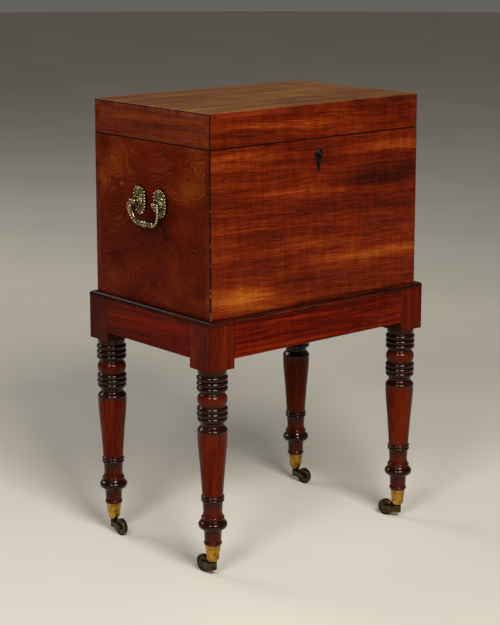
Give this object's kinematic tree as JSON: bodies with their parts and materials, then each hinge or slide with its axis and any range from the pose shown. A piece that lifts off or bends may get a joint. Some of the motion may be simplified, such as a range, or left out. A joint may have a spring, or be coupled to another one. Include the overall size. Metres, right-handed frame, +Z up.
{
  "type": "cellarette",
  "caption": "Box for wine bottles with a hinged locking lid and drop handles on the sides, on a stand with turned legs and swivel casters.",
  "frame": {"origin": "on the floor, under the middle of the object", "axes": "+X to the right along the front, +Y from the front to the back, where the lid is hinged, +Z up"},
  "size_m": [0.4666, 0.302, 0.711],
  "materials": {
    "mahogany_veneer": "old french-polished mahogany, ribbon figure, satin gloss",
    "mahogany_top": "faded polished mahogany, straight grain",
    "mahogany_stand": "dark red-brown polished mahogany, turned",
    "mahogany_inner": "plain mahogany, unpolished",
    "ebony": "polished black stringing and inlay",
    "brass": "aged cast brass, dark in the recesses",
    "brass_dark": "tarnished brass, worn bright on the edges",
    "iron": "dull wrought steel",
    "lead": "dull grey sheet lead"
  },
  "bodies": {
    "stand": {"caster_cups": "brass", "caster_screws": "iron", "leg_back_left": "mahogany_stand", "leg_back_right": "mahogany_stand", "leg_front_left": "mahogany_stand", "leg_front_right": "mahogany_stand", "stand_back_moulding": "mahogany_stand", "stand_back_rail": "mahogany_stand", "stand_front_moulding": "mahogany_stand", "stand_front_rail": "mahogany_stand", "stand_left_moulding": "mahogany_stand", "stand_left_rail": "mahogany_stand", "stand_right_moulding": "mahogany_stand", "stand_right_rail": "mahogany_stand"},
    "box": {"box_back": "mahogany_veneer", "box_bottom": "mahogany_veneer", "box_front": "mahogany_veneer", "box_left_side": "mahogany_veneer", "box_liner": "lead", "box_right_side": "mahogany_veneer", "box_stringing": "ebony", "divider_cross_boards": "mahogany_inner", "divider_long_board": "mahogany_inner", "escutcheon": "ebony", "handle_left_plates": "brass", "handle_left_posts": "brass", "handle_nuts": "iron", "handle_right_plates": "brass", "handle_right_posts": "brass", "hinge_body_leaves": "brass", "hinge_body_screws": "iron", "hinge_pins": "iron", "lock_case": "brass", "lock_screws": "iron"},
    "lid": {"hinge_lid_leaves": "brass", "hinge_lid_screws": "iron", "lid_back_rail": "mahogany_veneer", "lid_front_rail": "mahogany_veneer", "lid_left_rail": "mahogany_veneer", "lid_right_rail": "mahogany_veneer", "lid_stringing": "ebony", "lid_top_board": "mahogany_top", "lock_link_plate": "brass", "lock_link_screws": "iron"},
    "lock_bolt": {"lock_bolt": "iron"},
    "bail_left": {"handle_left_bail": "brass"},
    "bail_right": {"handle_right_bail": "brass"},
    "horn_front_left": {"caster_front_left_horn": "brass_dark", "caster_front_left_axle": "iron"},
    "wheel_front_left": {"caster_front_left_wheel": "brass_dark"},
    "horn_front_right": {"caster_front_right_horn": "brass_dark", "caster_front_right_axle": "iron"},
    "wheel_front_right": {"caster_front_right_wheel": "brass_dark"},
    "horn_back_left": {"caster_back_left_horn": "brass_dark", "caster_back_left_axle": "iron"},
    "wheel_back_left": {"caster_back_left_wheel": "brass_dark"},
    "horn_back_right": {"caster_back_right_horn": "brass_dark", "caster_back_right_axle": "iron"},
    "wheel_back_right": {"caster_back_right_wheel": "brass_dark"}
  },
  "joints": [
    {"name": "box_lift_off", "type": "slide", "parent": "stand", "child": "box", "axis": [0, 0, 1], "range_m": [0, 0.06]},
    {"name": "lid_hinge", "type": "hinge", "parent": "box", "child": "lid", "pos_m": [0, 0.1449, 0.65675], "axis": [-1, 0, 0], "range_deg": [0, 95]},
    {"name": "lock_bolt_slide", "type": "slide", "parent": "box", "child": "lock_bolt", "axis": [1, 0, 0], "range_m": [0, 0.0045]},
    {"name": "bail_left_hinge", "type": "hinge", "parent": "box", "child": "bail_left", "pos_m": [-0.2285, 0, 0.5635], "axis": [0, 1, 0], "range_deg": [0, 100]},
    {"name": "bail_right_hinge", "type": "hinge", "parent": "box", "child": "bail_right", "pos_m": [0.2285, 0, 0.5635], "axis": [0, -1, 0], "range_deg": [0, 100]},
    {"name": "swivel_front_left", "type": "hinge", "parent": "stand", "child": "horn_front_left", "pos_m": [-0.2, -0.127, 0.015], "axis": [0, 0, 1], "continuous": true},
    {"name": "swivel_front_right", "type": "hinge", "parent": "stand", "child": "horn_front_right", "pos_m": [0.2, -0.127, 0.015], "axis": [0, 0, 1], "continuous": true},
    {"name": "swivel_back_left", "type": "hinge", "parent": "stand", "child": "horn_back_left", "pos_m": [-0.2, 0.127, 0.015], "axis": [0, 0, 1], "continuous": true},
    {"name": "swivel_back_right", "type": "hinge", "parent": "stand", "child": "horn_back_right", "pos_m": [0.2, 0.127, 0.015], "axis": [0, 0, 1], "continuous": true},
    {"name": "wheel_front_left_spin", "type": "hinge", "parent": "horn_front_left", "child": "wheel_front_left", "pos_m": [-0.2, -0.105, 0.0135], "axis": [1, 0, 0], "continuous": true},
    {"name": "wheel_front_right_spin", "type": "hinge", "parent": "horn_front_right", "child": "wheel_front_right", "pos_m": [0.19431, -0.10575, 0.0135], "axis": [0.9659, 0.2588, 0], "continuous": true},
    {"name": "wheel_back_left_spin", "type": "hinge", "parent": "horn_back_left", "child": "wheel_back_left", "pos_m": [-0.20153, 0.10505, 0.0135], "axis": [-0.9976, 0.0698, 0], "continuous": true},
    {"name": "wheel_back_right_spin", "type": "hinge", "parent": "horn_back_right", "child": "wheel_back_right", "pos_m": [0.20115, 0.10503, 0.0135], "axis": [-0.9986, -0.0523, 0], "continuous": true}
  ]
}
